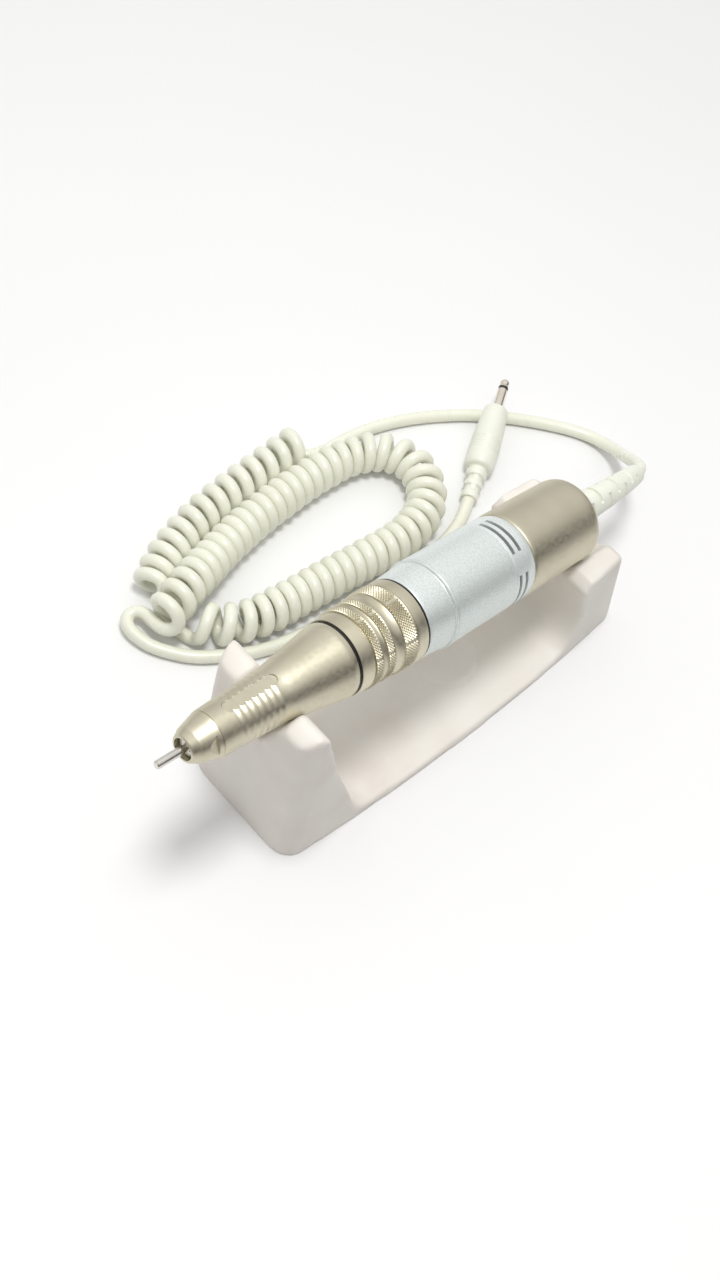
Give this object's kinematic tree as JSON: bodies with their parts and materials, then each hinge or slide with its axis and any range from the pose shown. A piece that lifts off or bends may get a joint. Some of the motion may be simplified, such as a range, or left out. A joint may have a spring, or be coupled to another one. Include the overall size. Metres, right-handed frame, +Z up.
{
  "type": "electric nail drill",
  "caption": "Twist-lock nail drill handpiece with vented motor body, collet and test pin, resting in a moulded cradle, with a curly cord ending in a jack plug.",
  "frame": {"origin": "centre of the rest's flat base, on the table", "axes": "+X along the rest, from the nose end of the handpiece to its cord end; +Z up; +Y towards the loop of cord"},
  "size_m": [0.2318, 0.1228, 0.0735],
  "materials": {
    "rest_rubber": "matte moulded silicone rubber, light scuffs",
    "cord_jacket": "smooth off-white jacket, slight green cast",
    "cord_moulding": "satin moulded off-white",
    "champagne_metal": "fine satin champagne anodised, turned",
    "silver_paint": "fine metallic silver, frosted",
    "bright_silver": "plain bright silver",
    "seal_black": "matte",
    "steel": "ground bright steel",
    "plug_metal": "polished nickel plate",
    "turned_aluminium": "plain turned",
    "motor_steel": "zinc plated",
    "bronze": "sintered bronze",
    "copper": "enamelled copper",
    "black_plastic": "black",
    "wire_red": "wire insulation"
  },
  "bodies": {
    "rest": {"hand_rest": "rest_rubber", "cord_rear_lead": "cord_jacket", "cord_curl_rear": "cord_jacket", "cord_link": "cord_jacket", "cord_curl_front": "cord_jacket", "cord_front_lead": "cord_jacket", "plug_cover": "cord_moulding", "plug_sleeve": "plug_metal", "plug_insulator": "black_plastic", "plug_tip": "plug_metal"},
    "handpiece": {"nose_tip": "champagne_metal", "nose_cone": "champagne_metal", "front_seal_ring": "seal_black", "inner_sleeve": "turned_aluminium", "rear_seal_ring": "seal_black", "body_shell": "silver_paint", "vent_ring": "bright_silver", "end_cap": "champagne_metal", "strain_relief": "cord_moulding", "cord_tail": "cord_jacket", "clamp_lower": "black_plastic", "clamp_upper": "black_plastic", "clamp_screws": "steel", "front_bearing_outer": "steel", "front_bearing_balls": "steel", "rear_bearing_outer": "steel", "rear_bearing_balls": "steel", "bearing_housing": "turned_aluminium", "motor_flange": "turned_aluminium", "motor_screws": "steel", "motor_can": "motor_steel", "magnets": "motor_steel", "brush_holder": "black_plastic", "brushes": "black_plastic", "brush_springs": "steel", "terminals": "copper", "lead_wires": "wire_red", "motor_bushings": "bronze"},
    "lock_collar": {"lock_collar": "champagne_metal", "cam_ring": "turned_aluminium"},
    "slide_bush": {"slide_bush": "bronze", "guide_pins": "steel"},
    "spindle": {"spindle": "steel", "front_bearing_inner": "steel", "rear_bearing_inner": "steel", "disc_springs": "steel", "drive_dog": "steel", "motor_dog": "steel", "motor_shaft": "steel", "rotor_core": "motor_steel", "windings": "copper", "commutator": "copper", "fan": "black_plastic"},
    "collet": {"collet": "steel", "drawbar": "steel", "thrust_ring": "steel", "cross_pin": "steel"},
    "test_pin": {"test_pin": "steel"}
  },
  "joints": [
    {"name": "handpiece_lift", "type": "slide", "parent": "rest", "child": "handpiece", "axis": [0, 0, 1], "range_m": [0, 0.045]},
    {"name": "collar_twist", "type": "hinge", "parent": "handpiece", "child": "lock_collar", "pos_m": [-0.03562, 0, 0.05813], "axis": [0.9882, 0, -0.153], "range_deg": [0, 60]},
    {"name": "bush_slide", "type": "slide", "parent": "handpiece", "child": "slide_bush", "axis": [-0.9882, 0, 0.153], "range_m": [0, 0.0012]},
    {"name": "spindle_spin", "type": "hinge", "parent": "handpiece", "child": "spindle", "pos_m": [-0.03789, 0, 0.05848], "axis": [0.9882, 0, -0.153], "continuous": true},
    {"name": "collet_slide", "type": "slide", "parent": "spindle", "child": "collet", "axis": [-0.9882, 0, 0.153], "range_m": [0, 0.0007]},
    {"name": "pin_slide", "type": "slide", "parent": "collet", "child": "test_pin", "axis": [-0.9882, 0, 0.153], "range_m": [0, 0.024]}
  ],
  "couplings": [
    {"joint": "collar_twist", "follows": "bush_slide", "rad_per_m": 872.66},
    {"joint": "collet_slide", "follows": "bush_slide", "ratio": 0.58333}
  ]
}
